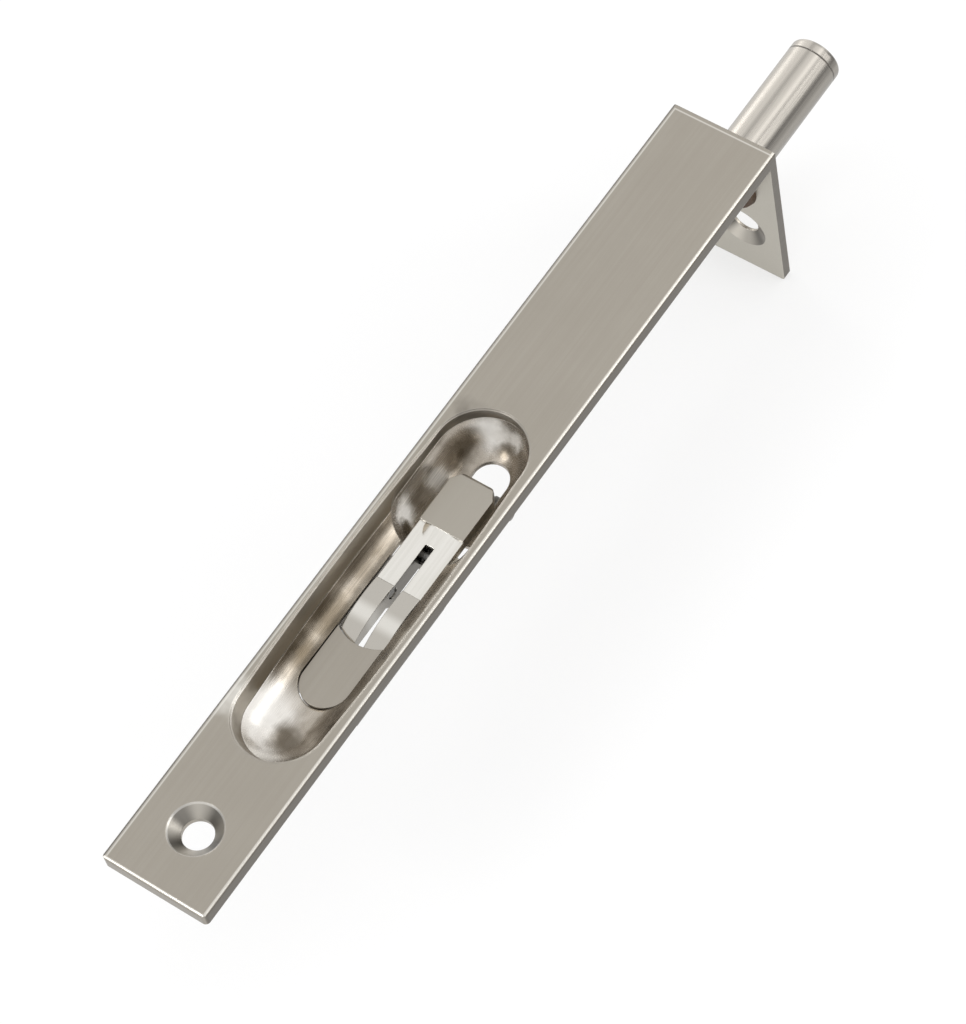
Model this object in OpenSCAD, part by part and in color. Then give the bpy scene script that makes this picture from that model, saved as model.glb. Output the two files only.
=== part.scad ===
// Lever flush bolt: a face plate with a bent end plate, a finger pocket, and a flip lever
// that draws a round bolt in and out through a bush in the end plate.
// X is the width, +Y runs towards the bolt's tip, +Z comes out of the face.
// The origin is on the lower screw hole's axis, on the back of the face plate.

/* [Face plate] */
// Length of the face plate, along Y
plate_len = 152.4; // [146:0.1:180]
// Width of the face plate and of the end plate
plate_w = 19.05; // [18.6:0.05:24]
// Thickness of the face plate
plate_t = 2.8; // [2.4:0.1:4]
// Rounding of the face plate's front edges
edge_r = 0.55; // [0.2:0.05:0.9]
// Rounding of its lower corners, seen from the front
corner_r = 0.8; // [0.6:0.05:1.5]
// Depth of the end plate, from the front face
end_depth = 34.9; // [29:0.1:45]
// Thickness of the end plate
end_t = 1.7; // [1.4:0.1:2.6]

/* [Screw holes] */
// Distance of the face screw hole from the plate's lower end
face_hole_y = 10.8; // [6:0.1:12]
// Radius of the face screw hole
face_hole_r = 2.55; // [1.8:0.05:3]
// Radius of its countersink at the front face
face_csk_r = 4.45; // [3.6:0.05:5]
// Depth of its countersink
face_csk_t = 1.9; // [1:0.1:2]
// Sideways place of the end plate's screw hole
end_hole_x = 2.1; // [-3:0.1:3]
// Depth of the end plate's screw hole below the front face
end_hole_z = 24.4; // [23.4:0.1:27]
// Radius of the end plate's screw hole
end_hole_r = 2.45; // [1.8:0.05:3]
// Radius of its countersink on the inner face
end_csk_r = 4.6; // [3.6:0.05:5]
// Depth of its countersink
end_csk_t = 1.2; // [0.6:0.1:1.2]

/* [Finger pocket] */
// Middle of the pocket, from the plate's lower end
pocket_y = 58.25; // [57.8:0.05:58.8]
// Distance from the pocket's middle to the centre of each bowl
bowl_y = 25.9; // [25.6:0.1:26.2]
// Radius of the groove between the bowls
groove_r = 8.3; // [8.1:0.05:8.4]
// Height of the groove's axis above the front face
groove_lift = 1.2; // [1:0.05:1.3]
// Radius of the deep upper bowl
bowl_r = 7.9; // [7.7:0.05:8]
// Depth of the upper bowl's centre
bowl_z = 2.3; // [2:0.05:2.5]
// Straight run of the upper bowl towards the lever
bowl_run = 10.75; // [8:0.05:12]
// Wall of the pressed cup
cup_wall = 0.8; // [0.6:0.05:0.9]
// Bevel of the pocket's rim in the face
rim_bevel = 0.25; // [0.1:0.05:0.4]
// Half width of the lever opening in the cup
gate_half = 4.3; // [4.25:0.01:4.4]
// Radius of the finger hole beyond the lever's tip
eye_r = 3.1; // [2.5:0.05:3.4]
// Upper end of the finger hole
eye_top_y = 88; // [87:0.1:88.5]
// Distance that the cup's flange runs past each end of the pocket
flange_run = 7.6; // [7:0.1:8]

/* [Lever] */
// Pivot of the lever, from the plate's lower end
pivot_y = 60.3; // [60:0.05:60.6]
// Depth of the lever's top and of the rest land
top_z = 6; // [5.9:0.05:6.1]
// Depth of the pivot below the lever's top
pivot_drop = 1.6; // [1.5:0.05:1.7]
// Half width of the lever
lever_half = 4.05; // [3.9:0.01:4.1]
// Reach of the lever from the pivot to its tip
lever_tip = 22.3; // [20:0.1:23]
// Reach of the two tines below the pivot
lever_tail = 10.2; // [9:0.1:10.3]
// Thickness of the finger pad
pad_t = 2.1; // [1.6:0.1:2.3]
// Length of the finger pad
pad_len = 10.1; // [8:0.1:10.5]
// Depth of the polished hollow behind the pad
hollow_t = 0.45; // [0.2:0.05:0.5]
// Radius in plan of the half-round ramp from the hollow up to the pad
ramp_half = 3; // [2:0.1:3.4]
// Width of the link slot
slot_w = 1.6; // [1.5:0.05:1.9]
// Radius of the pivot pins
pivot_r = 1; // [0.8:0.05:1.1]
// Radius of the crank pin
crank_r = 0.9; // [0.7:0.05:1]
// Distance from the pivot to the crank pin, along the lever
crank_arm = 8.3; // [8:0.05:8.5]
// Depth of the crank pin below the pivot
crank_drop = 1.4; // [1.2:0.05:1.5]

/* [Link and bolt] */
// Distance between the link's two pins
link_len = 18; // [17:0.1:18.5]
// Thickness of the link
link_t = 1.2; // [1:0.05:1.3]
// Width of the link
link_w = 3; // [2.4:0.1:3.2]
// Depth of the clevis pin
clevis_z = 17.5; // [17.3:0.1:18.5]
// Radius of the clevis pin
clevis_r = 0.9; // [0.7:0.05:1]
// Thickness of the drive bar
bar_t = 1.5; // [1.2:0.05:1.8]
// Width of the drive bar
bar_w = 3.4; // [3:0.1:3.6]
// Radius of the bolt
bolt_r = 4.46; // [4:0.02:4.7]
// Depth of the bolt's axis
bolt_z = 12.5; // [12.3:0.1:13.4]
// How far the bolt stands out of the end plate at rest
bolt_out = 25.9; // [23:0.1:32]
// Length of the bolt's tip cap
tip_len = 2.1; // [1.6:0.1:4]
// Rounding of the tip cap
tip_round = 0.9; // [0.4:0.05:1.2]
// Lower end of the bolt, from the plate's lower end
bolt_low_y = 119; // [118.5:0.1:124]
// Outer radius of the guide bush
bush_r = 5.3; // [5:0.05:5.8]
// Radius of the guide bush's flange
bush_flange_r = 6; // [5.5:0.05:6.4]

/* [Fits] */
// Running clearance of pins and the bolt
run_fit = 0.05; // [0.03:0.01:0.09]
// Gap between the rest land and the cup
seam_gap = 0.15; // [0.1:0.01:0.2]
// Free gap between parts that move past each other
free_gap = 0.3; // [0.2:0.05:0.4]

/* [Hidden] */
$fn = 96;
eps = 0.01;
far = 60;

plate_half = plate_w / 2;
end_in_y = plate_len - end_t;
pivot_z = top_z + pivot_drop;
crank_y = pivot_y + crank_arm;
crank_z = pivot_z + crank_drop;
// The clevis pin lies where the link's length puts it
clevis_y = crank_y + sqrt(pow(link_len, 2) - pow(clevis_z - crank_z, 2));
link_tilt = asin((clevis_z - crank_z) / link_len);

rim_top_y = pocket_y + bowl_y + sqrt(pow(bowl_r, 2) - pow(bowl_z, 2));
rim_low_y = 2 * pocket_y - rim_top_y;
flange_t = 0.8;
flange_low_y = rim_low_y - flange_run;
flange_top_y = rim_top_y + flange_run;
flange_half = plate_half - 0.6;
back_z = plate_t + flange_t;
// Radius of the groove where it meets the bowls at the face
groove_end_r = sqrt(pow(bowl_r, 2) - pow(bowl_z, 2) + pow(groove_lift, 2));
groove_sag = groove_r - groove_end_r;
groove_arc_r = (pow(bowl_y, 2) + pow(groove_sag, 2)) / (2 * groove_sag);
// The groove's lower end is a ball on its axis that its long arc runs into without a crease
groove_low = bowl_y + 0.4;
groove_turn = asin(groove_low / groove_arc_r);
end_ball_r = (groove_r - groove_arc_r) / cos(groove_turn) + groove_arc_r;
end_ball_y = groove_low - end_ball_r * sin(groove_turn);
cup_low_z = bowl_z + bowl_r + cup_wall;
gate_top_y = pocket_y + bowl_y - bowl_run;

land_end_y = 37.8;
land_arc_rise = 1.3;
land_t = 2.4;
land_half = gate_half - seam_gap;
land_edge_y = pivot_y - lever_tail - free_gap;

cheek_in = gate_half + 0.05;
cheek_out = cheek_in + 1.1;
cheek_z = 7.2;
strap_z = cup_low_z + free_gap;
strap_t = 1.3;
strap_half = 2.4;
deck_low_y = land_end_y + 3;
cheek_top_y = pivot_y + 5.2;
foot_y = flange_low_y + 1.2;
foot_t = 1.2;
foot_end_y = rim_low_y - cup_wall - free_gap;
foot_half = 7;
screw_r = 1.2;
screw_head_r = 2.1;
screw_head_t = 1.3;
screw_x = 4.7;
screw_bite = 1.8;
foot_screw_y = foot_y + 3.6;
guide_y = rim_top_y + cup_wall + 1.1;
guide_t = 1.2;
guide_end_y = flange_top_y - 0.3;
guide_screw_y = guide_end_y - 2.4;

bar_x = slot_w / 2;
bar_low_z = clevis_z + bar_w / 2;
bar_head_y = bolt_low_y - 2.8;
tongue_len = 7;
tongue_half = 2.3;
rod_pin_r = 1;
rod_pin_y = bolt_low_y + 4;
bolt_tip_y = plate_len + bolt_out;
cap_y = bolt_tip_y - tip_len;
spigot_r = 2.2;
spigot_len = 5;

// The friction spring's bow: a circular arc that rises from its foot to just short of the bolt
spring_t = 0.4;
spring_half = 2.4;
spring_foot_len = 5;
spring_len = 17;
spring_foot_y = end_in_y - 0.8 - 1 - spring_foot_len - spring_len;
bow_rise = bolt_z - bolt_r - plate_t - 0.1;
bow_half = spring_len / 2;
bow_r = (pow(bow_half, 2) + pow(bow_rise, 2)) / (2 * bow_rise);
bow_y = spring_foot_y + spring_foot_len - 0.15 + bow_half;
bow_z = plate_t + bow_rise - bow_r;

// The detent leaf lies under the carrier's deck and ends short of the lever's sweep
detent_t = 0.4;
detent_half = 1.6;
detent_z = strap_z + strap_t;
detent_tip_y = pivot_y - 9.9;
rivet_r = 0.6;
rivet_bite = 0.8;
detent_rivets_y = [deck_low_y + 2.4, deck_low_y + 4.6];

guide_half = 1.6;
toe_z = bar_low_z + 0.1;
pin_end_x = bar_x + bar_t + 0.8;
bar_neck = 2.5;

// Lever sections
hub_r = 2.6;
crank_boss_r = 2.2;
tine_t = 3;
slot_roof = 1.3;
slot_reach = 9.1;
slot_end_y = pivot_y + slot_reach;
// The ramp is the cap of a ball, and the tines' tops are crowned by a long arc
ramp_drop = 0.02;
ramp_r = (pow(ramp_half, 2) + pow(hollow_t - ramp_drop, 2)) / (2 * (hollow_t - ramp_drop));
crown_r = 20;
crown_back = 2.8;
crown_y = pivot_y - crown_back;
step_y = pivot_y + 0.7;
pad_y = pivot_y + lever_tip - pad_len;
// Directions in which the crank pin leaves the link's open seat and comes back, from the face's normal
seat_out = 49;
seat_back = -28;

// Places a shape drawn from the plate's lower end and front face into the part's own frame
module place() translate([0, -face_hole_y, plate_t]) children();

// A plate seen along X: its outline is drawn in Y and depth, and it spans x0 to x1
module side_plate(x0, x1)
    translate([x0, 0, 0]) rotate([90, 0, 90]) linear_extrude(x1 - x0) mirror([0, 1]) children();

// A round bar along X from x0 to x1
module cross_pin(x0, x1, y, z, r)
    translate([x0, y, -z]) rotate([0, 90, 0]) cylinder(h = x1 - x0, r = r);

// A round bar along Y from y0 to y1
module long_bar(y0, y1, z, r1, r2)
    translate([0, y0, -z]) rotate([-90, 0, 0]) cylinder(h = y1 - y0, r1 = r1, r2 = r2);

// A box given by its two corners, with depth counted from the front face
module block(x0, x1, y0, y1, z0, z1)
    translate([x0, y0, -z1]) cube([x1 - x0, y1 - y0, z1 - z0]);

// A rectangle with round corners, centred on X and starting at y0
module round_rect(half, y0, y1, r) {
    translate([-half, y0 + r]) square([2 * half, y1 - y0 - 2 * r]);
    translate([-half + r, y0]) square([2 * (half - r), y1 - y0]);
    for (x = [-half + r, half - r], y = [y0 + r, y1 - r]) translate([x, y]) circle(r);
}

// The pocket's hollow, or with a grow the outside of the sheet that lines it
module pocket_form(grow) {
    // Groove: a slender barrel whose axis lies above the face
    translate([0, pocket_y, groove_lift]) rotate([-90, 0, 0]) rotate_extrude() groove_profile(grow);
    bowl_form(gate_top_y, pocket_y + bowl_y, bowl_r + grow);
}

module groove_profile(grow) {
    turn_y = -groove_low - grow * sin(groove_turn);
    intersection() {
        translate([groove_r - groove_arc_r, 0]) circle(groove_arc_r + grow, $fn = 2400);
        translate([0, turn_y]) square([groove_r + grow + 1, bowl_y - turn_y]);
    }
    intersection() {
        translate([0, -end_ball_y]) circle(end_ball_r + grow);
        translate([0, turn_y - far]) square(far);
    }
}

// A bowl with a straight run from y0 to y1, turned in one piece about its long axis
module bowl_form(y0, y1, r) translate([0, y0, -bowl_z]) rotate([-90, 0, 0]) rotate_extrude() {
    run = y1 - y0;
    intersection() {
        union() {
            circle(r);
            if (run > 0) translate([0, run]) circle(r);
            if (run > 0) square([r, run]);
        }
        translate([0, -r - 1]) square([r + 1, run + 2 * r + 2]);
    }
}

module face_plate() color("#b3aca2") place() difference() {
    union() {
        // Face strip with its front edges rounded, from a cross section and a side section
        intersection() {
            rotate([-90, 0, 0]) linear_extrude(plate_len) mirror([0, 1]) face_section(plate_half, edge_r);
            side_plate(-far, far) {
                translate([edge_r, 0]) square([plate_len - edge_r, plate_t]);
                translate([0, edge_r]) square([edge_r + eps, plate_t - edge_r]);
                translate([edge_r, edge_r]) circle(edge_r);
            }
            translate([0, 0, -far]) linear_extrude(2 * far)
                round_rect(plate_half, 0, plate_len + 2 * corner_r, corner_r);
        }
        // End plate, bent back from the strip
        translate([0, end_in_y, 0]) rotate([-90, 0, 0]) linear_extrude(end_t)
            round_rect(plate_half, 0, end_depth, edge_r);
    }
    pocket_form(0);
    intersection() {
        pocket_form(rim_bevel);
        block(-far, far, 0, plate_len, -1, rim_bevel);
    }
    translate([0, face_hole_y, -far]) cylinder(h = 2 * far, r = face_hole_r);
    translate([0, face_hole_y, -face_csk_t])
        cylinder(h = face_csk_t + eps, r1 = face_hole_r, r2 = face_csk_r + eps);
    translate([end_hole_x, 0, 0]) {
        long_bar(end_in_y - 1, plate_len + 1, end_hole_z, end_hole_r, end_hole_r);
        long_bar(end_in_y - eps, end_in_y + end_csk_t, end_hole_z, end_csk_r + eps, end_hole_r);
    }
    long_bar(end_in_y - 1, plate_len + 1, bolt_z, bush_r, bush_r);
    // Blind holes for the screws that hold the cup, the carrier and the bar guide
    for (x = [-screw_x, screw_x], y = [foot_screw_y, guide_screw_y])
        translate([x, y, -plate_t - eps]) cylinder(h = screw_bite + run_fit, r = screw_r + run_fit);
    translate([0, spring_foot_y + spring_foot_len / 2, -plate_t - eps])
        cylinder(h = screw_bite + run_fit, r = screw_r + run_fit);
}

// Cross section of the strip: square behind, rounded in front
module face_section(half, r) {
    translate([-half, -plate_t]) square([2 * half, plate_t - r]);
    translate([-half + r, -plate_t]) square([2 * (half - r), plate_t]);
    for (x = [-half + r, half - r]) translate([x, -r]) circle(r);
}

// Plan of the lever opening in the cup: wide for the lever, narrow beyond its tip
module gate_plan() {
    translate([0, land_end_y + gate_half]) circle(gate_half);
    translate([-gate_half, land_end_y + gate_half])
        square([2 * gate_half, gate_top_y - land_end_y - gate_half]);
    translate([-eye_r, gate_top_y - 1]) square([2 * eye_r, eye_top_y - eye_r - gate_top_y + 1]);
    translate([0, eye_top_y - eye_r]) circle(eye_r);
}

module finger_cup() color("#9c9388") place() difference() {
    union() {
        difference() {
            pocket_form(cup_wall);
            block(-far, far, 0, plate_len, -far, plate_t);
        }
        translate([0, 0, -back_z]) linear_extrude(flange_t)
            round_rect(flange_half, flange_low_y, flange_top_y, 1.5);
    }
    pocket_form(0);
    translate([0, 0, -far]) linear_extrude(far) gate_plan();
    for (x = [-screw_x, screw_x], y = [foot_screw_y, guide_screw_y])
        translate([x, y, -back_z - 1]) cylinder(h = flange_t + 2, r = screw_r + 0.1);
    // Notch under each edge of the lever opening, clear of the pivot pins
    cross_pin(-cheek_out, cheek_out, pivot_y, pivot_z, pivot_r + seam_gap);
}

// Plan of the rest land: round below, hollow above where the lever's tines end
module land_plan() difference() {
    union() {
        translate([0, land_end_y + gate_half]) circle(land_half);
        translate([-land_half, land_end_y + gate_half])
            square([2 * land_half, land_edge_y + land_arc_rise - land_end_y - gate_half]);
    }
    tail_plan(free_gap);
}

// Rounded end of the tines, in plan, with an optional gap around it
module tail_plan(gap) {
    r = (pow(lever_half, 2) + pow(land_arc_rise, 2)) / (2 * land_arc_rise);
    low = pivot_y - lever_tail;
    translate([0, low + r]) circle(r + gap);
}

module rest_land() color("#a39c92") place() translate([0, 0, -top_z - land_t])
    linear_extrude(land_t) land_plan();

module lever_carrier() color("#8f8a82") place() difference() {
    union() {
        // Deck under the rest land
        block(-cheek_out, cheek_out, deck_low_y, land_edge_y - 2.2, top_z + land_t, strap_z + strap_t);
        // Cheeks on both sides of the lever
        for (x = [-cheek_out, cheek_in]) side_plate(x, x + cheek_out - cheek_in) {
            translate([deck_low_y, cheek_z])
                square([cheek_top_y - deck_low_y - 2, strap_z + strap_t - cheek_z]);
            translate([cheek_top_y - 3.4, cheek_z]) square([3.4, strap_z + strap_t - cheek_z - 2]);
            translate([cheek_top_y - 2, strap_z + strap_t - 2]) circle(2);
        }
        // Strap under the lower bowl, and the foot on the flange
        block(-strap_half, strap_half, foot_y, deck_low_y + 1, strap_z, strap_z + strap_t);
        block(-strap_half, strap_half, foot_y, foot_y + strap_t, back_z, strap_z + strap_t);
        block(-foot_half, foot_half, foot_y, foot_end_y, back_z, back_z + foot_t);
    }
    for (x = [-screw_x, screw_x])
        translate([x, foot_screw_y, -back_z - foot_t - 1]) cylinder(h = foot_t + 2, r = screw_r + 0.1);
    cross_pin(-cheek_out - 1, cheek_out + 1, pivot_y, pivot_z, pivot_r + 0.01);
    for (y = detent_rivets_y)
        translate([0, y, -detent_z - eps]) cylinder(h = rivet_bite + eps, r = rivet_r + 0.01);
}

// A cheese-head screw driven up into the plate from behind a part of thickness t
module back_screw(t) {
    translate([0, 0, -back_z - t]) cylinder(h = t + flange_t + screw_bite, r = screw_r);
    difference() {
        translate([0, 0, -back_z - t - screw_head_t]) cylinder(h = screw_head_t, r = screw_head_r);
        translate([-screw_head_r - 1, -0.25, -back_z - t - screw_head_t - eps])
            cube([2 * screw_head_r + 2, 0.5, 0.6]);
    }
}

module carrier_screws() color("#8c8880") place()
    for (x = [-screw_x, screw_x]) translate([x, foot_screw_y, 0]) back_screw(foot_t);

// Two stub pins, one in each cheek, that leave the slot between the tines free
module pivot_pins() color("#7f7c76") place() for (side = [0, 1]) mirror([side, 0, 0]) {
    cross_pin(slot_w / 2 + 0.2, cheek_out + 0.5, pivot_y, pivot_z, pivot_r);
    cross_pin(cheek_out, cheek_out + 0.5, pivot_y, pivot_z, pivot_r + 0.35);
}

// A leaf under the land that bears on the lever's hub and holds the lever at either end
module detent_spring() color("#a8a49c") place() difference() {
    union() {
        block(-detent_half, detent_half, deck_low_y + 1, detent_tip_y, detent_z, detent_z + detent_t);
        cross_pin(-detent_half, detent_half, detent_tip_y, detent_z + detent_t / 2, detent_t);
    }
    for (y = detent_rivets_y) translate([0, y, -detent_z - 1]) cylinder(h = 2, r = rivet_r + 0.02);
}

module detent_rivets() color("#8c8880") place() for (y = detent_rivets_y) translate([0, y, 0]) {
    translate([0, 0, -detent_z - detent_t]) cylinder(h = detent_t + rivet_bite, r = rivet_r);
    translate([0, 0, -detent_z - detent_t - 0.4]) cylinder(h = 0.4, r = 2 * rivet_r);
}

// Bracket on the flange whose finger carries the drive bar
module bar_guide() color("#8f8a82") place() difference() {
    union() {
        block(-foot_half, foot_half, guide_y, guide_end_y, back_z, back_z + foot_t);
        block(-guide_half, bar_x - free_gap, guide_y, guide_y + guide_t, back_z, toe_z + guide_t);
        block(-guide_half, bar_x + bar_t - 0.6, guide_y, guide_y + guide_t, toe_z, toe_z + guide_t);
    }
    for (x = [-screw_x, screw_x])
        translate([x, guide_screw_y, -back_z - foot_t - 1]) cylinder(h = foot_t + 2, r = screw_r + 0.1);
}

module guide_screws() color("#8c8880") place()
    for (x = [-screw_x, screw_x]) translate([x, guide_screw_y, 0]) back_screw(foot_t);

// Dark bush in the end plate that the bolt runs through
module guide_bush() color("#4a3f36") place() difference() {
    union() {
        long_bar(end_in_y, plate_len, bolt_z, bush_r - 0.02, bush_r - 0.02);
        long_bar(end_in_y - 0.8, end_in_y, bolt_z, bush_flange_r - 0.3, bush_flange_r);
    }
    long_bar(end_in_y - 2, plate_len + 1, bolt_z, bolt_r + run_fit, bolt_r + run_fit);
}

// Bowed leaf behind the face plate that drags on the bolt and keeps it where it is put
module friction_spring() color("#a8a49c") place() difference() {
    side_plate(-spring_half, spring_half) {
        translate([spring_foot_y, plate_t]) square([spring_foot_len, spring_t]);
        intersection() {
            translate([bow_y, bow_z]) difference() {
                circle(bow_r, $fn = 720);
                circle(bow_r - spring_t, $fn = 720);
            }
            translate([spring_foot_y + spring_foot_len - 0.15, plate_t]) square([spring_len, far]);
        }
    }
    translate([0, spring_foot_y + spring_foot_len / 2, -plate_t - 2]) cylinder(h = 3, r = screw_r + 0.05);
}

module spring_screw() color("#8c8880") place() translate([0, spring_foot_y + spring_foot_len / 2, 0]) {
    translate([0, 0, -plate_t - spring_t]) cylinder(h = spring_t + screw_bite, r = screw_r);
    translate([0, 0, -plate_t - spring_t - 1]) cylinder(h = 1, r = screw_head_r);
}

// Side view of the lever: pad, hollow, hub and tines, with depth counted from the face
module lever_side() {
    difference() {
        union() {
            translate([pivot_y - lever_tail, top_z]) square([lever_tail, tine_t]);
            translate([pivot_y, pivot_z]) circle(hub_r);
            translate([pivot_y, top_z]) square([crank_arm, hub_r + pivot_drop - 0.4]);
            translate([crank_y, crank_z]) circle(crank_boss_r);
            translate([crank_y, top_z]) square([pad_y + 1 - crank_y, pad_t]);
            polygon([[pad_y, top_z], [pivot_y + lever_tip - 0.5, top_z], [pivot_y + lever_tip, top_z + 0.5],
                     [pivot_y + lever_tip, top_z + pad_t - 0.6], [pivot_y + lever_tip - 0.6, top_z + pad_t],
                     [pad_y, top_z + pad_t]]);
        }
        // Nothing stands above the lever's top, and the hollow lies behind the pad
        translate([pivot_y - far, top_z - far]) square([2 * far, far]);
        translate([step_y, top_z - 1]) square([pad_y - step_y, 1 + hollow_t]);
        // The tines are crowned and fall away towards their ends
        difference() {
            translate([pivot_y - lever_tail - 1, top_z - 1])
                square([step_y - pivot_y + lever_tail + 1, tine_t]);
            translate([crown_y, top_z + crown_r]) circle(crown_r, $fn = 360);
        }
    }
}

// Plan of the lever: cut corners at the tip, a shallow arc at the tines' ends
module lever_plan() intersection() {
    tip_y = pivot_y + lever_tip;
    polygon([[-lever_half, 0], [lever_half, 0], [lever_half, tip_y - 2.1], [lever_half - 1.3, tip_y - 0.15],
             [lever_half - 1.7, tip_y], [-lever_half + 1.7, tip_y], [-lever_half + 1.3, tip_y - 0.15],
             [-lever_half, tip_y - 2.1]]);
    union() {
        tail_plan(0);
        translate([-lever_half, pivot_y - lever_tail + land_arc_rise])
            square([2 * lever_half, lever_tail + lever_tip]);
    }
}

module lever() color("#b9b4aa") place() difference() {
    union() {
        intersection() {
            side_plate(-lever_half, lever_half) lever_side();
            translate([0, 0, -far]) linear_extrude(far) lever_plan();
        }
        // Half-round ramp from the hollow up to the pad
        intersection() {
            translate([0, pad_y, -top_z - ramp_drop - ramp_r]) sphere(ramp_r, $fn = 160);
            block(-ramp_half, ramp_half, pad_y - ramp_half - 0.1, pad_y + eps, top_z, top_z + hollow_t + 0.1);
        }
    }
    // Slot for the link: open through the lever, and hidden under the pad's lower edge
    block(-slot_w / 2, slot_w / 2, pivot_y - lever_tail - 1, slot_end_y, 0, far);
    block(-slot_w / 2, slot_w / 2, crank_y - 1, crank_y + crank_boss_r + 1, top_z + slot_roof, far);
    cross_pin(-far, far, pivot_y, pivot_z, pivot_r + run_fit);
    cross_pin(-far, far, crank_y, crank_z, crank_r + 0.01);
}

module crank_pin() color("#7f7c76") place()
    cross_pin(-lever_half + 0.4, lever_half - 0.4, crank_y, crank_z, crank_r);

// Flat link with a closed eye at the clevis and an open seat at the crank pin
module link() color("#8c8880") place() difference() {
    side_plate(-link_t / 2, link_t / 2) difference() {
        union() {
            translate([clevis_y, clevis_z]) circle(link_w / 2 + 0.2);
            translate([clevis_y, clevis_z]) rotate(180 + link_tilt)
                translate([0, -link_w / 2]) square([link_len, link_w]);
            translate([crank_y, crank_z]) circle(link_w / 2);
        }
        // The seat is open towards the face, so that the pin can leave it between the ends
        translate([crank_y, crank_z]) {
            circle(crank_r + run_fit);
            for (turn = [seat_out, seat_back]) rotate(turn) translate([-crank_r - run_fit, -2 * link_w])
                square([2 * (crank_r + run_fit), 2 * link_w]);
        }
    }
    cross_pin(-far, far, clevis_y, clevis_z, clevis_r + run_fit);
}

// Flat bar from the clevis pin to the bolt, with a tongue in the bolt's slot
module drive_bar() color("#979188") place() difference() {
    side_plate(bar_x, bar_x + bar_t) {
        translate([clevis_y, clevis_z]) circle(bar_w / 2 + 0.15);
        translate([clevis_y, clevis_z - bar_w / 2]) square([bar_head_y - clevis_y + 1, bar_w]);
        translate([bar_head_y, bolt_z - tongue_half]) square([bar_neck, bar_low_z - bolt_z + tongue_half]);
        translate([bar_head_y, bolt_z - tongue_half])
            square([bolt_low_y - bar_head_y + tongue_len, 2 * tongue_half]);
    }
    cross_pin(-far, far, clevis_y, clevis_z, clevis_r + 0.01);
    cross_pin(-far, far, rod_pin_y, bolt_z, rod_pin_r + 0.01);
}

// Headed pin through the link's eye and the drive bar
module clevis_pin() color("#7f7c76") place() difference() {
    union() {
        cross_pin(-link_t / 2 - 0.15, pin_end_x, clevis_y, clevis_z, clevis_r);
        cross_pin(-link_t / 2 - 0.85, -link_t / 2 - 0.15, clevis_y, clevis_z, clevis_r + 0.6);
    }
    difference() {
        cross_pin(bar_x + bar_t + 0.1, bar_x + bar_t + 0.5, clevis_y, clevis_z, clevis_r + 1);
        cross_pin(bar_x, pin_end_x + 1, clevis_y, clevis_z, clevis_r - 0.2);
    }
}

// Open clip in the groove of the clevis pin
module clevis_clip() color("#55524d") place() difference() {
    cross_pin(bar_x + bar_t + 0.12, bar_x + bar_t + 0.46, clevis_y, clevis_z, clevis_r + 0.5);
    cross_pin(bar_x, pin_end_x + 1, clevis_y, clevis_z, clevis_r - 0.19);
    block(bar_x, pin_end_x + 1, clevis_y - 0.5, clevis_y + 0.5, clevis_z, clevis_z + 3);
}

module rod_pin() color("#7f7c76") place()
    cross_pin(-bolt_r + 0.5, bolt_r - 0.5, rod_pin_y, bolt_z, rod_pin_r);

module bolt_rod() color("#a8a299") place() difference() {
    long_bar(bolt_low_y, cap_y, bolt_z, bolt_r, bolt_r);
    // Slot for the drive bar's tongue, the cross pin's hole and the tip's bore
    block(bar_x - 0.03, bar_x + bar_t + 0.03, bolt_low_y - 1, bolt_low_y + tongue_len + 0.3,
          bolt_z - far, bolt_z + far);
    cross_pin(-far, far, rod_pin_y, bolt_z, rod_pin_r + 0.01);
    long_bar(cap_y - spigot_len - 0.2, cap_y + 1, bolt_z, spigot_r + 0.02, spigot_r + 0.02);
}

module bolt_tip() color("#aaa49b") place() {
    translate([0, cap_y, -bolt_z]) rotate([-90, 0, 0]) rotate_extrude() {
        square([bolt_r - 0.05, 0.12]);
        translate([0, 0.12]) square([bolt_r, tip_len - tip_round - 0.12]);
        square([bolt_r - tip_round, tip_len]);
        translate([bolt_r - tip_round, tip_len - tip_round]) intersection() {
            circle(tip_round);
            square(2 * tip_round);
        }
    }
    long_bar(cap_y - spigot_len, cap_y + 0.1, bolt_z, spigot_r, spigot_r);
}

face_plate();
finger_cup();
rest_land();
lever_carrier();
carrier_screws();
pivot_pins();
detent_spring();
detent_rivets();
bar_guide();
guide_screws();
guide_bush();
friction_spring();
spring_screw();
lever();
crank_pin();
link();
drive_bar();
clevis_pin();
clevis_clip();
rod_pin();
bolt_rod();
bolt_tip();
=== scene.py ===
import bpy
import math
from mathutils import Matrix, Vector


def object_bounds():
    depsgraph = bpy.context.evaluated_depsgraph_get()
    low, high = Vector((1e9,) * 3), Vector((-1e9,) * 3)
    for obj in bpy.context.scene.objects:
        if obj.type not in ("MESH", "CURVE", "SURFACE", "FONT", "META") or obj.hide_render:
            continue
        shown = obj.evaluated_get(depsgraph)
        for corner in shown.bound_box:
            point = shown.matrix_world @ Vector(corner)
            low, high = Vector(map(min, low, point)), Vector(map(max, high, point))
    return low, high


# Lever flush bolt in satin nickel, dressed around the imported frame
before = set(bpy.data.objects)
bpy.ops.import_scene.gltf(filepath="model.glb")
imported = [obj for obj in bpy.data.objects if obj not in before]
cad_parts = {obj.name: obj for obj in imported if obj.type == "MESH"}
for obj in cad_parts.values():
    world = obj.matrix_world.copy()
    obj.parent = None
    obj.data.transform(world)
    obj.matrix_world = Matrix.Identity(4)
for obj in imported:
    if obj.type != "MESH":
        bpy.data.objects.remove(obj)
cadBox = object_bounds()
print("frame loaded:", len(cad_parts), "nodes")

mm = 0.001
scene = bpy.context.scene

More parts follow.
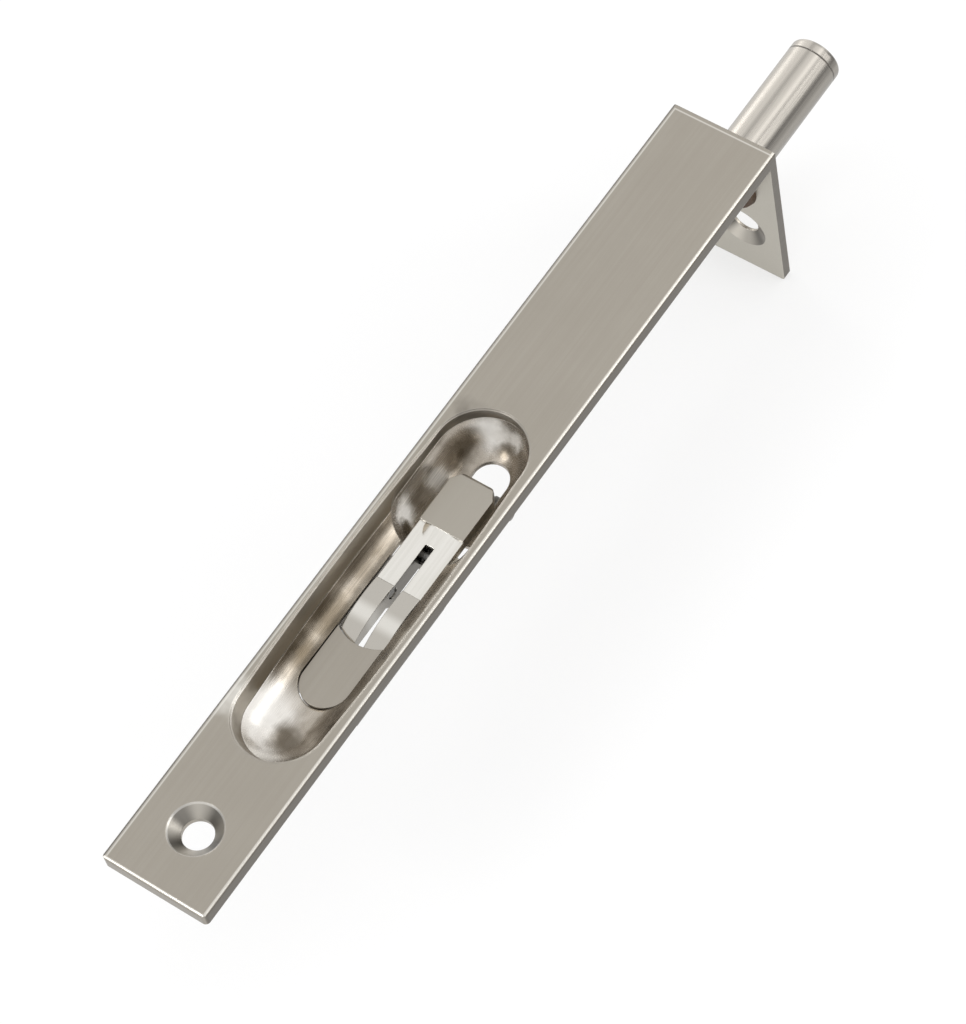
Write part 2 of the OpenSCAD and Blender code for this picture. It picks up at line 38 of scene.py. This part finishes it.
# The view from which the photograph was taken, solved from the plate's outline
photoView = {
    "place": (242.31 * mm, -148.76 * mm, 549.39 * mm),
    "right": (0.81527, 0.56403, -0.13118),
    "up": (-0.44297, 0.75334, 0.48606),
    "lens": 147.7,
    "sensor": 36.0,
    "clipStart": 0.01,
    "clipEnd": 20.0,
}

# Where things lie on the object, in millimetres of the shared frame
place = {
    "plateHalf": 9.525,
    "faceZ": 2.8,
    "upperEnd": 141.6,
    "padY": 61.7,
    "stepY": 50.2,
    "bandY": 44.2,
    "pocketLow": 9.0,
    "pocketHigh": 86.0,
    "faceHole": (0, 0, 0),
    "sinkR": 4.45,
    "endHole": (2.1, 139.9, -21.6),
    "endSinkR": 4.6,
    "seamY": 165.4,
}

# The colour sockets of a mix node go by number, because their names repeat
mixFirst = 6
mixSecond = 7
mixResult = 2


# Small helpers for building node trees
class Tree:
    def __init__(self, nodeTree):
        self.nodes = nodeTree.nodes
        self.links = nodeTree.links
        self.shader = None

    def add(self, kind, **settings):
        made = self.nodes.new(kind)
        for key, value in settings.items():
            setattr(made, key, value)
        return made

    def put(self, value, socket):
        if isinstance(value, bpy.types.NodeSocket):
            self.links.new(value, socket)
        else:
            socket.default_value = value

    def math(self, op, a, b=0.0):
        n = self.add("ShaderNodeMath", operation=op)
        self.put(a, n.inputs[0])
        self.put(b, n.inputs[1])
        return n.outputs[0]

    # How far a value is from a middle, to either side
    def gap(self, value, middle=0.0):
        return self.math("ABSOLUTE", self.math("SUBTRACT", value, middle))

    # A smooth step between two limits
    def ramp(self, value, limits, results=(0.0, 1.0)):
        n = self.add("ShaderNodeMapRange", clamp=True, interpolation_type="SMOOTHSTEP")
        self.put(value, n.inputs["Value"])
        for name, number in zip(("From Min", "From Max", "To Min", "To Max"), (*limits, *results)):
            self.put(number, n.inputs[name])
        return n.outputs["Result"]

    # The same with its limits in millimetres past a start
    def rampMm(self, value, limits, start=0.0, results=(0.0, 1.0)):
        return self.ramp(value, [(start + limit) * mm for limit in limits], results)

    # Several masks and shares multiplied together
    def masked(self, first, *others):
        mask = first
        for other in others:
            mask = self.math("MULTIPLY", mask, other)
        return mask

    def without(self, mask):
        return self.math("SUBTRACT", 1.0, mask)

    def mix(self, factor, a, b):
        n = self.add("ShaderNodeMix", data_type="RGBA")
        self.put(factor, n.inputs["Factor"])
        self.put(a, n.inputs[mixFirst])
        self.put(b, n.inputs[mixSecond])
        return n.outputs[mixResult]

    # A colour with another laid over it where all the masks allow
    def paint(self, colour, over, *masks):
        return self.mix(self.masked(*masks), colour, over)

    def tint(self, colour, by):
        n = self.add("ShaderNodeMix", data_type="RGBA", blend_type="MULTIPLY")
        n.inputs["Factor"].default_value = 1.0
        self.put(colour, n.inputs[mixFirst])
        self.put(by, n.inputs[mixSecond])
        return n.outputs[mixResult]

    def stretch(self, vector, scale):
        n = self.add("ShaderNodeMapping")
        self.put(vector, n.inputs["Vector"])
        n.inputs["Scale"].default_value = scale
        return n.outputs["Vector"]

    def noise(self, vector, scale, detail, rough=0.55):
        n = self.add("ShaderNodeTexNoise")
        self.put(self.stretch(vector, scale), n.inputs["Vector"])
        for name, number in (("Scale", 1.0), ("Detail", detail), ("Roughness", rough)):
            self.put(number, n.inputs[name])
        return n.outputs["Fac"]

    def split(self, vector):
        n = self.add("ShaderNodeSeparateXYZ")
        self.put(vector, n.inputs[0])
        return n.outputs

    # The parts of the surface's normal
    def facing(self):
        return self.split(self.add("ShaderNodeNewGeometry").outputs["Normal"])

    # The distance from a point that is given in millimetres
    def distance(self, vector, point):
        n = self.add("ShaderNodeVectorMath", operation="DISTANCE")
        self.put(vector, n.inputs[0])
        n.inputs[1].default_value = [part * mm for part in point]
        return n.outputs["Value"]

    # Grey tones round a turn, as pairs of degrees and tone, with 0 degrees in the ramp's middle
    def bands(self, rise, run, stops):
        middle = 0.5
        turn = self.math("MULTIPLY_ADD", self.math("ARCTAN2", rise, run), 0.5 / math.pi)
        turn.node.inputs[2].default_value = middle
        n = self.add("ShaderNodeValToRGB")
        self.put(turn, n.inputs[0])
        ramp = n.color_ramp
        ramp.interpolation = "EASE"
        while len(ramp.elements) < len(stops):
            ramp.elements.new(middle)
        for element, (degrees, tone) in zip(ramp.elements, stops):
            element.position = degrees / 360 + middle
        for element, (degrees, tone) in zip(ramp.elements, stops):
            element.color = (tone, tone, tone, 1)
        return n.outputs[0]


def newGroup(name, inputs, outputs):
    group = bpy.data.node_groups.new(name, "ShaderNodeTree")
    for label, kind, value in inputs:
        socket = group.interface.new_socket(name=label, in_out="INPUT", socket_type=kind)
        if value is not None:
            socket.default_value = value
    for label, kind in outputs:
        group.interface.new_socket(name=label, in_out="OUTPUT", socket_type=kind)
    tree = Tree(group)
    return group, tree, tree.add("NodeGroupInput"), tree.add("NodeGroupOutput")


# Long brush marks, fine hairs and soft clouds: each noise's scale, detail and roughness
brushNoise = {
    "Streak": ((1400, 26, 1400), 4.0, 0.6),
    "Hair": ((9000, 90, 9000), 2.0, 0.6),
    "Cloud": ((95, 95, 95), 3.0, 0.55),
}


def makeBrushGroup():
    group, tree, gIn, gOut = newGroup(
        "brushMarks",
        [("Vector", "NodeSocketVector", None)],
        [(label, "NodeSocketFloat") for label in brushNoise],
    )
    for label, (scale, detail, rough) in brushNoise.items():
        tree.put(tree.noise(gIn.outputs["Vector"], scale, detail, rough), gOut.inputs[label])
    return group


# Painted highlight on the rounded edges: where the rounded normal leaves the true one, broken up by a noise
roundedEdgeSheen = {
    "samples": 4,
    "radius": 0.3,
    "turned": (0.999, 0.86),
    "breakScale": (900, 900, 900),
    "breakDetail": 2.0,
    "breakLimits": (0.25, 0.6),
    "breakShare": (0.55, 1.0),
}


def makeEdgeGroup():
    group, tree, gIn, gOut = newGroup(
        "roundedEdgeSheen",
        [("Vector", "NodeSocketVector", None), ("Radius", "NodeSocketFloat", roundedEdgeSheen["radius"] * mm)],
        [("Edge", "NodeSocketFloat"), ("Normal", "NodeSocketVector")],
    )
    bevel = tree.add("ShaderNodeBevel", samples=roundedEdgeSheen["samples"])
    tree.put(gIn.outputs["Radius"], bevel.inputs["Radius"])
    geometry = tree.add("ShaderNodeNewGeometry")
    dot = tree.add("ShaderNodeVectorMath", operation="DOT_PRODUCT")
    tree.put(bevel.outputs["Normal"], dot.inputs[0])
    tree.put(geometry.outputs["True Normal"], dot.inputs[1])
    turned = tree.ramp(dot.outputs["Value"], roundedEdgeSheen["turned"])
    broken = tree.noise(gIn.outputs["Vector"], roundedEdgeSheen["breakScale"], roundedEdgeSheen["breakDetail"])
    broken = tree.ramp(broken, roundedEdgeSheen["breakLimits"], roundedEdgeSheen["breakShare"])
    tree.put(tree.masked(turned, broken), gOut.inputs["Edge"])
    tree.put(bevel.outputs["Normal"], gOut.inputs["Normal"])
    return group


brushGroup = makeBrushGroup()
edgeGroup = makeEdgeGroup()


def startMaterial(name, metallic=1.0):
    material = bpy.data.materials.new(name)
    material.use_nodes = True
    tree = Tree(material.node_tree)
    material.node_tree.nodes.clear()
    tree.shader = tree.add("ShaderNodeBsdfPrincipled")
    tree.shader.inputs["Metallic"].default_value = metallic
    out = tree.add("ShaderNodeOutputMaterial")
    return material, tree, tree.shader, out


def placeGroup(tree, group, coords, **values):
    n = tree.add("ShaderNodeGroup", node_tree=group)
    tree.put(coords, n.inputs["Vector"])
    for label, value in values.items():
        tree.put(value, n.inputs[label])
    return n.outputs


def bumpOn(tree, height, strength, distance, normal):
    n = tree.add("ShaderNodeBump")
    n.inputs["Strength"].default_value = strength
    n.inputs["Distance"].default_value = distance
    tree.put(height, n.inputs["Height"])
    tree.put(normal, n.inputs["Normal"])
    return n.outputs[0]


# How the marks turn into tone, clouding and roughness, and how deep they are in millimetres
markUse = {
    "tone": (0.3, 0.7),
    "cloud": (0.3, 0.75),
    "rough": (0.25, 0.75),
    "depth": 0.02,
}


# A nickel or steel finish with brush marks, soft clouding and a painted highlight on its rounded edges
def metalFinish(name, look, shade=None):
    material, tree, shader, out = startMaterial(name)
    coords = tree.add("ShaderNodeTexCoord").outputs["Object"]
    brush = placeGroup(tree, brushGroup, coords)
    edge = placeGroup(tree, edgeGroup, coords, Radius=look["bevel"] * mm)
    colour = tree.mix(tree.ramp(brush["Streak"], markUse["tone"]), look["dark"], look["light"])
    colour = tree.paint(colour, look["warm"], tree.ramp(brush["Cloud"], markUse["cloud"]), look["clouding"])
    roughLimits = (look["rough"] - look["spread"], look["rough"] + look["spread"])
    rough = tree.ramp(brush["Hair"], markUse["rough"], roughLimits)
    if shade:
        colour, rough = shade(tree, coords, colour, rough)
    # Painted highlight along the rounded edges
    colour = tree.paint(colour, look["edge"], edge["Edge"], look["edgeSheenShare"])
    tree.put(colour, shader.inputs["Base Color"])
    tree.put(rough, shader.inputs["Roughness"])
    height = tree.math("ADD", brush["Hair"], brush["Streak"])
    bump = bumpOn(tree, height, look["grain"], markUse["depth"] * mm, edge["Normal"])
    tree.put(bump, shader.inputs["Normal"])
    tree.links.new(shader.outputs[0], out.inputs[0])
    return material


# The edge colour and its share make a painted highlight on the rounded edges
nickelLook = {
    "dark": (0.372, 0.341, 0.294, 1),
    "light": (0.390, 0.360, 0.312, 1),
    "warm": (0.345, 0.315, 0.270, 1),
    "edge": (0.78, 0.75, 0.70, 1),
    "clouding": 0.35,
    "edgeSheenShare": 0.25,
    "bevel": 0.3,
    "rough": 0.36,
    "spread": 0.06,
    "grain": 0.09,
}
landLook = dict(nickelLook, edgeSheenShare=0.4, bevel=0.15)
# Painted light: the pocket is a lighter copy of the nickel, against the darkening in its hollow
pocketLook = dict(
    nickelLook,
    dark=(0.46, 0.415, 0.355, 1),
    light=(0.54, 0.495, 0.43, 1),
    warm=(0.42, 0.37, 0.31, 1),
    clouding=0.5,
    rough=0.24,
    grain=0.10,
    edgeSheenShare=0.3,
)
# Painted highlight: the lever is a much lighter copy of the nickel, for its polished hollow
leverLook = dict(
    nickelLook,
    dark=(0.74, 0.72, 0.67, 1),
    light=(0.80, 0.78, 0.735, 1),
    warm=(0.68, 0.655, 0.60, 1),
    rough=0.16,
    spread=0.04,
    grain=0.02,
    bevel=0.2,
)
boltLook = dict(
    nickelLook,
    dark=(0.36, 0.335, 0.30, 1),
    light=(0.42, 0.395, 0.36, 1),
    rough=0.30,
    grain=0.04,
)
steelLook = dict(
    nickelLook,
    dark=(0.26, 0.255, 0.245, 1),
    light=(0.33, 0.325, 0.315, 1),
    warm=(0.30, 0.285, 0.26, 1),
    rough=0.42,
    edgeSheenShare=0.5,
    bevel=0.2,
)
darkLook = dict(
    steelLook,
    dark=(0.10, 0.094, 0.083, 1),
    light=(0.14, 0.132, 0.118, 1),
    warm=(0.12, 0.108, 0.09, 1),
    edgeSheenShare=0.2,
)
springLook = dict(
    steelLook,
    dark=(0.40, 0.395, 0.38, 1),
    light=(0.50, 0.495, 0.48, 1),
    rough=0.25,
    bevel=0.1,
)
bushLook = dict(
    steelLook,
    dark=(0.075, 0.048, 0.034, 1),
    light=(0.115, 0.078, 0.055, 1),
    warm=(0.13, 0.085, 0.055, 1),
    edge=(0.22, 0.16, 0.11, 1),
    rough=0.5,
)

# How ragged a spot's edge is, in millimetres, and where it fades, as shares of its radius
patchLook = {
    "raggedScale": (260, 260, 260),
    "raggedDetail": 2.0,
    "ragged": 5.0,
    "fade": (0.12, 1.1),
}


# Soft round patches in one mask; a spot is its middle and radius in millimetres and its share
def patches(tree, coords, spots):
    ragged = tree.noise(coords, patchLook["raggedScale"], patchLook["raggedDetail"])
    ragged = tree.masked(tree.math("SUBTRACT", ragged, 0.5), patchLook["ragged"] * mm)
    mask = 0.0
    for middle, radius, share in spots:
        reach = tree.math("ADD", tree.distance(coords, middle), ragged)
        spot = tree.rampMm(reach, [radius * part for part in patchLook["fade"]], 0.0, (share, 0.0))
        mask = tree.math("MAXIMUM", spot, mask)
    return mask


# Under "turn" are limits of the normal's parts, and under "reach" are limits in millimetres
stripTone = {
    "side": (0.115, 0.104, 0.089, 1),
    "sideShare": 0.85,
    "belowShare": 0.25,
    "endPlate": (0.55, 0.525, 0.465, 1),
    "foot": (0.22, 0.185, 0.14, 1),
    "footShare": (0.15, 0.8),
    "lip": (0.92, 0.90, 0.85, 1),
    "lipShare": 0.4,
    "lineIn": 0.72,
    "lineShare": 0.45,
    "shadeLip": (0.09, 0.082, 0.07, 1),
    "shadeLipShare": 0.9,
    "warm": (1, 0.94, 0.84, 1),
    "lightSpots": [((-7.2, 20.5, 1.3), 4.5, 0.7)],
    "darkSpots": [((-5.5, 78.8, 0.6), 3.5, 0.6)],
    "sinkBands": [
        (-180, 0.16), (-147, 0.36), (-117, 0.14), (-77, 0.60), (-40, 0.38), (-7, 0.14),
        (33, 0.36), (78, 0.14), (123, 0.46), (160, 0.22), (180, 0.16),
    ],
    "endBands": [
        (-180, 0.22), (-150, 0.14), (-115, 0.62), (-80, 0.40),
        (-35, 0.16), (0, 0.30), (90, 0.40), (180, 0.22),
    ],
    "turn": {
        "side": (0.6, 0.95),
        "below": (-0.7, -0.95),
        "wall": (0.93, 0.85),
        "endPlate": (0.7, 0.9),
        "sinkTop": (0.97, 0.93),
        "sinkFoot": (0.3, 0.5),
        "endSinkTop": (-0.97, -0.93),
        "endSinkFoot": (-0.2, -0.4),
        "lipTop": (0.997, 0.97),
        "lipFoot": (0.45, 0.8),
        "line": (0.97, 0.99),
        "leftEdge": (-0.1, -0.35),
        "upperEdge": (0.1, 0.35),
    },
    "reach": {
        "side": (-0.55, -0.2),
        "pocketLow": (0.0, 1.0),
        "pocketHigh": (0.0, -1.0),
        "wallDepth": (-0.3, -2.5),
        "endPlate": (-2.2, -1.5),
        "endPlateDepth": (-0.2, -0.8),
        "sink": (0.4, 0.0),
        "endSink": (0.6, 0.2),
        "lipDepth": (-0.3, -0.2),
        "line": (0.2, 0.05),
        "shadeLip": (0.6, 0.5),
        "shadeLipDepth": (0.5, 1.5),
    },
}


# The strip: painted shade on its side faces, painted light on its end plate, and a painted highlight line
# along its front edges and rims
def stripShade(tree, coords, colour, rough):
    turn = stripTone["turn"]
    reach = stripTone["reach"]
    at = tree.split(coords)
    facing = tree.facing()
    # Painted shade on the side faces and on the faces turned downwards
    onSide = tree.rampMm(tree.gap(at["X"]), reach["side"], place["plateHalf"])
    sideways = tree.ramp(tree.gap(facing["X"]), turn["side"])
    colour = tree.paint(colour, stripTone["side"], sideways, onSide, stripTone["sideShare"])
    below = tree.ramp(facing["Y"], turn["below"])
    colour = tree.paint(colour, stripTone["side"], below, stripTone["belowShare"])
    # Painted shade: the pocket's upright wall turns darker and brownish towards its foot
    colour = tree.paint(
        colour,
        stripTone["foot"],
        tree.ramp(facing["Z"], turn["wall"]),
        tree.without(onSide),
        tree.rampMm(at["Y"], reach["pocketLow"], place["pocketLow"]),
        tree.rampMm(at["Y"], reach["pocketHigh"], place["pocketHigh"]),
        tree.rampMm(at["Z"], reach["wallDepth"], place["faceZ"], stripTone["footShare"]),
    )
    # Painted shade in one spot and a painted highlight in another
    colour = tree.paint(colour, stripTone["side"], patches(tree, coords, stripTone["darkSpots"]))
    colour = tree.paint(colour, stripTone["lip"], patches(tree, coords, stripTone["lightSpots"]))
    # Painted light: the end plate's inner face is made lighter
    colour = tree.paint(
        colour,
        stripTone["endPlate"],
        tree.rampMm(at["Y"], reach["endPlate"], place["upperEnd"]),
        tree.rampMm(at["Z"], reach["endPlateDepth"]),
        tree.ramp(tree.gap(facing["Y"]), turn["endPlate"]),
    )
    # Painted reflection: bands of lighter and darker tone round the countersinks
    fromHole = tree.distance(tree.stretch(coords, (1, 1, 0)), place["faceHole"])
    colour = tree.paint(
        colour,
        tree.tint(tree.bands(at["Y"], at["X"], stripTone["sinkBands"]), stripTone["warm"]),
        tree.ramp(facing["Z"], turn["sinkTop"]),
        tree.ramp(facing["Z"], turn["sinkFoot"]),
        tree.rampMm(fromHole, reach["sink"], place["sinkR"]),
    )
    rise = tree.math("SUBTRACT", at["Z"], place["endHole"][2] * mm)
    run = tree.math("SUBTRACT", at["X"], place["endHole"][0] * mm)
    colour = tree.paint(
        colour,
        tree.tint(tree.bands(rise, run, stripTone["endBands"]), stripTone["warm"]),
        tree.ramp(facing["Y"], turn["endSinkTop"]),
        tree.ramp(facing["Y"], turn["endSinkFoot"]),
        tree.rampMm(tree.distance(coords, place["endHole"]), reach["endSink"], place["endSinkR"]),
    )
    # Painted highlight on the front edges and rims
    colour = tree.paint(
        colour,
        stripTone["lip"],
        tree.rampMm(at["Z"], reach["lipDepth"], place["faceZ"]),
        tree.ramp(facing["Z"], turn["lipTop"]),
        tree.ramp(facing["Z"], turn["lipFoot"]),
        stripTone["lipShare"],
    )
    # The two edges turned from the light: a painted highlight line on the face and a painted shade line
    # outside it
    fromSide = tree.math("ADD", at["X"], place["plateHalf"] * mm)
    fromEnd = tree.math("SUBTRACT", place["upperEnd"] * mm, at["Y"])
    inward = tree.math("MINIMUM", fromSide, fromEnd)
    colour = tree.paint(
        colour,
        stripTone["lip"],
        tree.rampMm(tree.gap(inward, stripTone["lineIn"] * mm), reach["line"]),
        tree.ramp(facing["Z"], turn["line"]),
        stripTone["lineShare"],
    )
    leftEdge = tree.ramp(facing["X"], turn["leftEdge"])
    upperEdge = tree.ramp(facing["Y"], turn["upperEdge"])
    colour = tree.paint(
        colour,
        stripTone["shadeLip"],
        tree.math("MAXIMUM", leftEdge, upperEdge),
        tree.rampMm(inward, reach["shadeLip"]),
        tree.rampMm(at["Z"], reach["shadeLipDepth"]),
        stripTone["shadeLipShare"],
    )
    return colour, rough


leverTone = {
    "tine": (0.50, 0.475, 0.43, 1),
    "tineEdge": (0.15, -0.15),
    "band": (0.80, 0.78, 0.73, 1),
    "bandShare": 0.75,
    "bandReach": (2.2, 0.3),
    "pad": (0.375, 0.345, 0.295, 1),
    "padShare": 0.9,
    "padEdge": (-0.1, 0.1),
    "padRough": 0.2,
    "slot": (0.11, 0.10, 0.085, 1),
    "slotTurn": (0.7, 0.95),
    "slotHalf": (1.5, 1.2),
    "slotAlong": (45.0, 51.0),
    "slotShare": (0.5, 0.95),
}


# The lever: a brushed pad, a painted highlight over its polished hollow and in a band across the tines, and
# greyer tines
def leverShade(tree, coords, colour, rough):
    at = tree.split(coords)
    pad = tree.rampMm(at["Y"], leverTone["padEdge"], place["padY"])
    tine = tree.rampMm(at["Y"], leverTone["tineEdge"], place["stepY"])
    band = tree.rampMm(tree.gap(at["Y"], place["bandY"] * mm), leverTone["bandReach"])
    colour = tree.paint(colour, leverTone["tine"], tine)
    # Painted highlight band across the tines
    colour = tree.paint(colour, leverTone["band"], band, leverTone["bandShare"])
    colour = tree.paint(colour, leverTone["pad"], pad, leverTone["padShare"])
    # The slot's side walls lie in their own shade
    colour = tree.paint(
        colour,
        leverTone["slot"],
        tree.ramp(tree.gap(tree.facing()["X"]), leverTone["slotTurn"]),
        tree.rampMm(tree.gap(at["X"]), leverTone["slotHalf"]),
        tree.rampMm(at["Y"], leverTone["slotAlong"], 0.0, leverTone["slotShare"]),
    )
    rough = tree.math("ADD", rough, tree.masked(pad, leverTone["padRough"]))
    return colour, rough


# Under "metal" is how metallic the plain places and the lit ones are
pocketTone = {
    "blot": (0.20, 0.165, 0.12, 1),
    "blotShare": 0.6,
    "blotScale": (190, 95, 190),
    "blotDetail": 3.0,
    "blotRough": 0.6,
    "blotLimits": (0.42, 0.62),
    "shadow": (0.10, 0.08, 0.055, 1),
    "light": (0.95, 0.93, 0.89, 1),
    "metal": (0.85, 0.1),
    "lightSpots": [
        ((-5.6, 22.0, -1.2), 8.0, 1.0), ((-0.5, 15.4, -1.0), 5.5, 0.6), ((-6.6, 61.2, -3.6), 3.8, 0.85),
        ((-6.2, 69.5, -4.0), 3.0, 0.5), ((-2.5, 79.6, -2.6), 4.6, 1.0), ((1.2, 80.6, -3.0), 3.0, 0.7),
    ],
    "darkSpots": [
        ((0.4, 20.6, -3.6), 3.2, 0.8), ((3.2, 20.0, -2.8), 3.2, 0.6), ((-5.6, 33.0, -1.8), 7.0, 1.0),
        ((-5.8, 40.5, -1.6), 7.5, 0.95), ((-6.0, 49.5, -1.5), 8.0, 0.85), ((-5.6, 75.2, -4.5), 4.2, 1.0),
        ((-0.2, 78.4, -5.4), 2.2, 0.8), ((4.8, 24.5, -2.1), 4.5, 0.5), ((-5.0, 59.0, -4.6), 2.0, 0.9),
    ],
}


# The pocket: brownish clouded walls, lighter where the bowls catch the light
def pocketShade(tree, coords, colour, rough):
    blot = tree.noise(coords, pocketTone["blotScale"], pocketTone["blotDetail"], pocketTone["blotRough"])
    blot = tree.ramp(blot, pocketTone["blotLimits"])
    colour = tree.paint(colour, pocketTone["blot"], blot, pocketTone["blotShare"])
    shadow = patches(tree, coords, pocketTone["darkSpots"])
    lit = tree.masked(patches(tree, coords, pocketTone["lightSpots"]), tree.without(shadow))
    colour = tree.paint(colour, pocketTone["light"], lit)
    colour = tree.paint(colour, pocketTone["shadow"], shadow)
    tree.put(tree.ramp(lit, (0.0, 1.0), pocketTone["metal"]), tree.shader.inputs["Metallic"])
    return colour, rough


boltTone = {
    "warm": (1, 0.94, 0.85, 1),
    "share": 0.9,
    "roundTurn": (0.8, 0.5),
    "seam": (0.06, 0.05, 0.04, 1),
    "seamShare": 0.85,
    "seamReach": (0.2, 0.08),
    "bands": [
        (-180, 0.40), (-110, 0.30), (-66, 0.31), (-40, 0.50), (-22, 0.68), (-8, 0.62),
        (3, 0.38), (14, 0.42), (24, 0.62), (32, 0.38), (40, 0.18), (54, 0.10),
        (64, 0.22), (76, 0.34), (95, 0.30), (140, 0.45), (180, 0.40),
    ],
}


# The rod: painted reflection bands along its length, and the tip's dark parting line
def boltShade(tree, coords, colour, rough):
    facing = tree.facing()
    # Painted reflection: lighter and darker bands round the rod by the way each face turns
    paintedReflection = tree.tint(tree.bands(facing["X"], facing["Z"], boltTone["bands"]), boltTone["warm"])
    rounded = tree.ramp(tree.gap(facing["Y"]), boltTone["roundTurn"])
    colour = tree.paint(colour, paintedReflection, rounded, boltTone["share"])
    fromSeam = tree.gap(tree.split(coords)["Y"], place["seamY"] * mm)
    seam = tree.rampMm(fromSeam, boltTone["seamReach"])
    colour = tree.paint(colour, boltTone["seam"], seam, boltTone["seamShare"])
    return colour, rough


satinNickel = metalFinish("satinNickel", nickelLook, stripShade)
landNickel = metalFinish("landNickel", landLook)
pocketNickel = metalFinish("pocketNickel", pocketLook, pocketShade)
leverNickel = metalFinish("leverNickel", leverLook, leverShade)
boltNickel = metalFinish("boltNickel", boltLook, boltShade)
platedSteel = metalFinish("platedSteel", steelLook)
darkSteel = metalFinish("darkSteel", darkLook)
springSteel = metalFinish("springSteel", springLook)
bushBronze = metalFinish("bushBronze", bushLook)

# Nodes that aren't named here are of plated steel
nodeFinish = {
    "face_plate": satinNickel,
    "finger_cup": pocketNickel,
    "rest_land": landNickel,
    "guide_bush": bushBronze,
    "link": darkSteel,
    "lever": leverNickel,
    "bolt_rod": boltNickel,
    "bolt_tip": boltNickel,
    "detent_spring": springSteel,
    "friction_spring": springSteel,
    "clevis_clip": springSteel,
}
for name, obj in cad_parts.items():
    finish = nodeFinish.get(name, platedSteel)
    for slot in obj.material_slots:
        slot.material = finish
print("finishes given to", len(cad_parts), "nodes")

# Floor, world and lamps; a lamp is its direction from the object, its size in metres and its power
studio = {
    "middleY": 0.07,
    "floorSize": 3.0,
    "floorGap": 0.05 * mm,
    "floorTone": (0.9, 0.9, 0.9, 1),
    "floorRough": 0.9,
    "floorGlow": 0.6,
    "white": (1, 1, 1, 1),
    "worldLight": 1.0,
    "reach": 0.9,
    "lamps": {
        "topLamp": ((0.15, 0.75, 1.0), 0.5, 0.5),
        "frontLamp": ((-0.373, -0.755, 0.542), 0.22, 1.3),
        "rightLamp": ((0.80, 0.45, 0.42), 0.4, 1.7),
        "leftLamp": ((-0.94, 0.34, 0.25), 0.3, 0.8),
    },
}


# 1 for rays that show a thing itself, straight or in a mirror or glass, and 0 for those that light others
def seenDirectly(tree):
    light = tree.add("ShaderNodeLightPath")
    seen = tree.math("MAXIMUM", light.outputs["Is Camera Ray"], light.outputs["Is Glossy Ray"])
    return tree.math("MAXIMUM", seen, light.outputs["Is Transmission Ray"])


def makeFloor():
    low = cadBox[0][2] - studio["floorGap"]
    bpy.ops.mesh.primitive_plane_add(size=studio["floorSize"], location=(0, studio["middleY"], low))
    floor = bpy.context.object
    floor.name = "paleFloor"
    material, tree, shader, out = startMaterial("paleFloor", 0.0)
    shader.inputs["Base Color"].default_value = studio["floorTone"]
    shader.inputs["Roughness"].default_value = studio["floorRough"]
    glow = tree.add("ShaderNodeEmission")
    glow.inputs["Color"].default_value = studio["white"]
    mixer = tree.add("ShaderNodeMixShader")
    tree.put(tree.masked(seenDirectly(tree), studio["floorGlow"]), mixer.inputs[0])
    tree.links.new(shader.outputs[0], mixer.inputs[1])
    tree.links.new(glow.outputs[0], mixer.inputs[2])
    tree.links.new(mixer.outputs[0], out.inputs[0])
    floor.data.materials.append(material)


def makeWorld():
    world = bpy.data.worlds.new("studioWorld")
    scene.world = world
    world.use_nodes = True
    tree = Tree(world.node_tree)
    world.node_tree.nodes.clear()
    back = tree.add("ShaderNodeBackground")
    out = tree.add("ShaderNodeOutputWorld")
    back.inputs["Color"].default_value = studio["white"]
    strength = tree.ramp(seenDirectly(tree), (0.0, 1.0), (studio["worldLight"], 1.0))
    tree.put(strength, back.inputs["Strength"])
    tree.links.new(back.outputs[0], out.inputs[0])


def addLamp(name, direction, size, power):
    lamp = bpy.data.lights.new(name, "AREA")
    lamp.energy = power
    lamp.size = size
    holder = bpy.data.objects.new(name, lamp)
    scene.collection.objects.link(holder)
    away = Vector(direction).normalized()
    holder.location = Vector((0, studio["middleY"], 0)) + away * studio["reach"]
    holder.rotation_euler = (-away).to_track_quat("-Z", "Y").to_euler()


def makeCamera():
    camera = bpy.data.cameras.new("photoCamera")
    camera.lens = photoView["lens"]
    camera.sensor_width = photoView["sensor"]
    camera.clip_start = photoView["clipStart"]
    camera.clip_end = photoView["clipEnd"]
    holder = bpy.data.objects.new("photoCamera", camera)
    scene.collection.objects.link(holder)
    right = Vector(photoView["right"]).normalized()
    up = Vector(photoView["up"]).normalized()
    back = right.cross(up).normalized()
    up = back.cross(right)
    turn = Matrix((right, up, back)).transposed().to_4x4()
    holder.matrix_world = Matrix.Translation(Vector(photoView["place"])) @ turn
    scene.camera = holder


makeFloor()
makeWorld()
for name, (direction, size, power) in studio["lamps"].items():
    addLamp(name, direction, size, power)
makeCamera()
scene.view_settings.view_transform = "Standard"
print("stage, lamps and camera set")
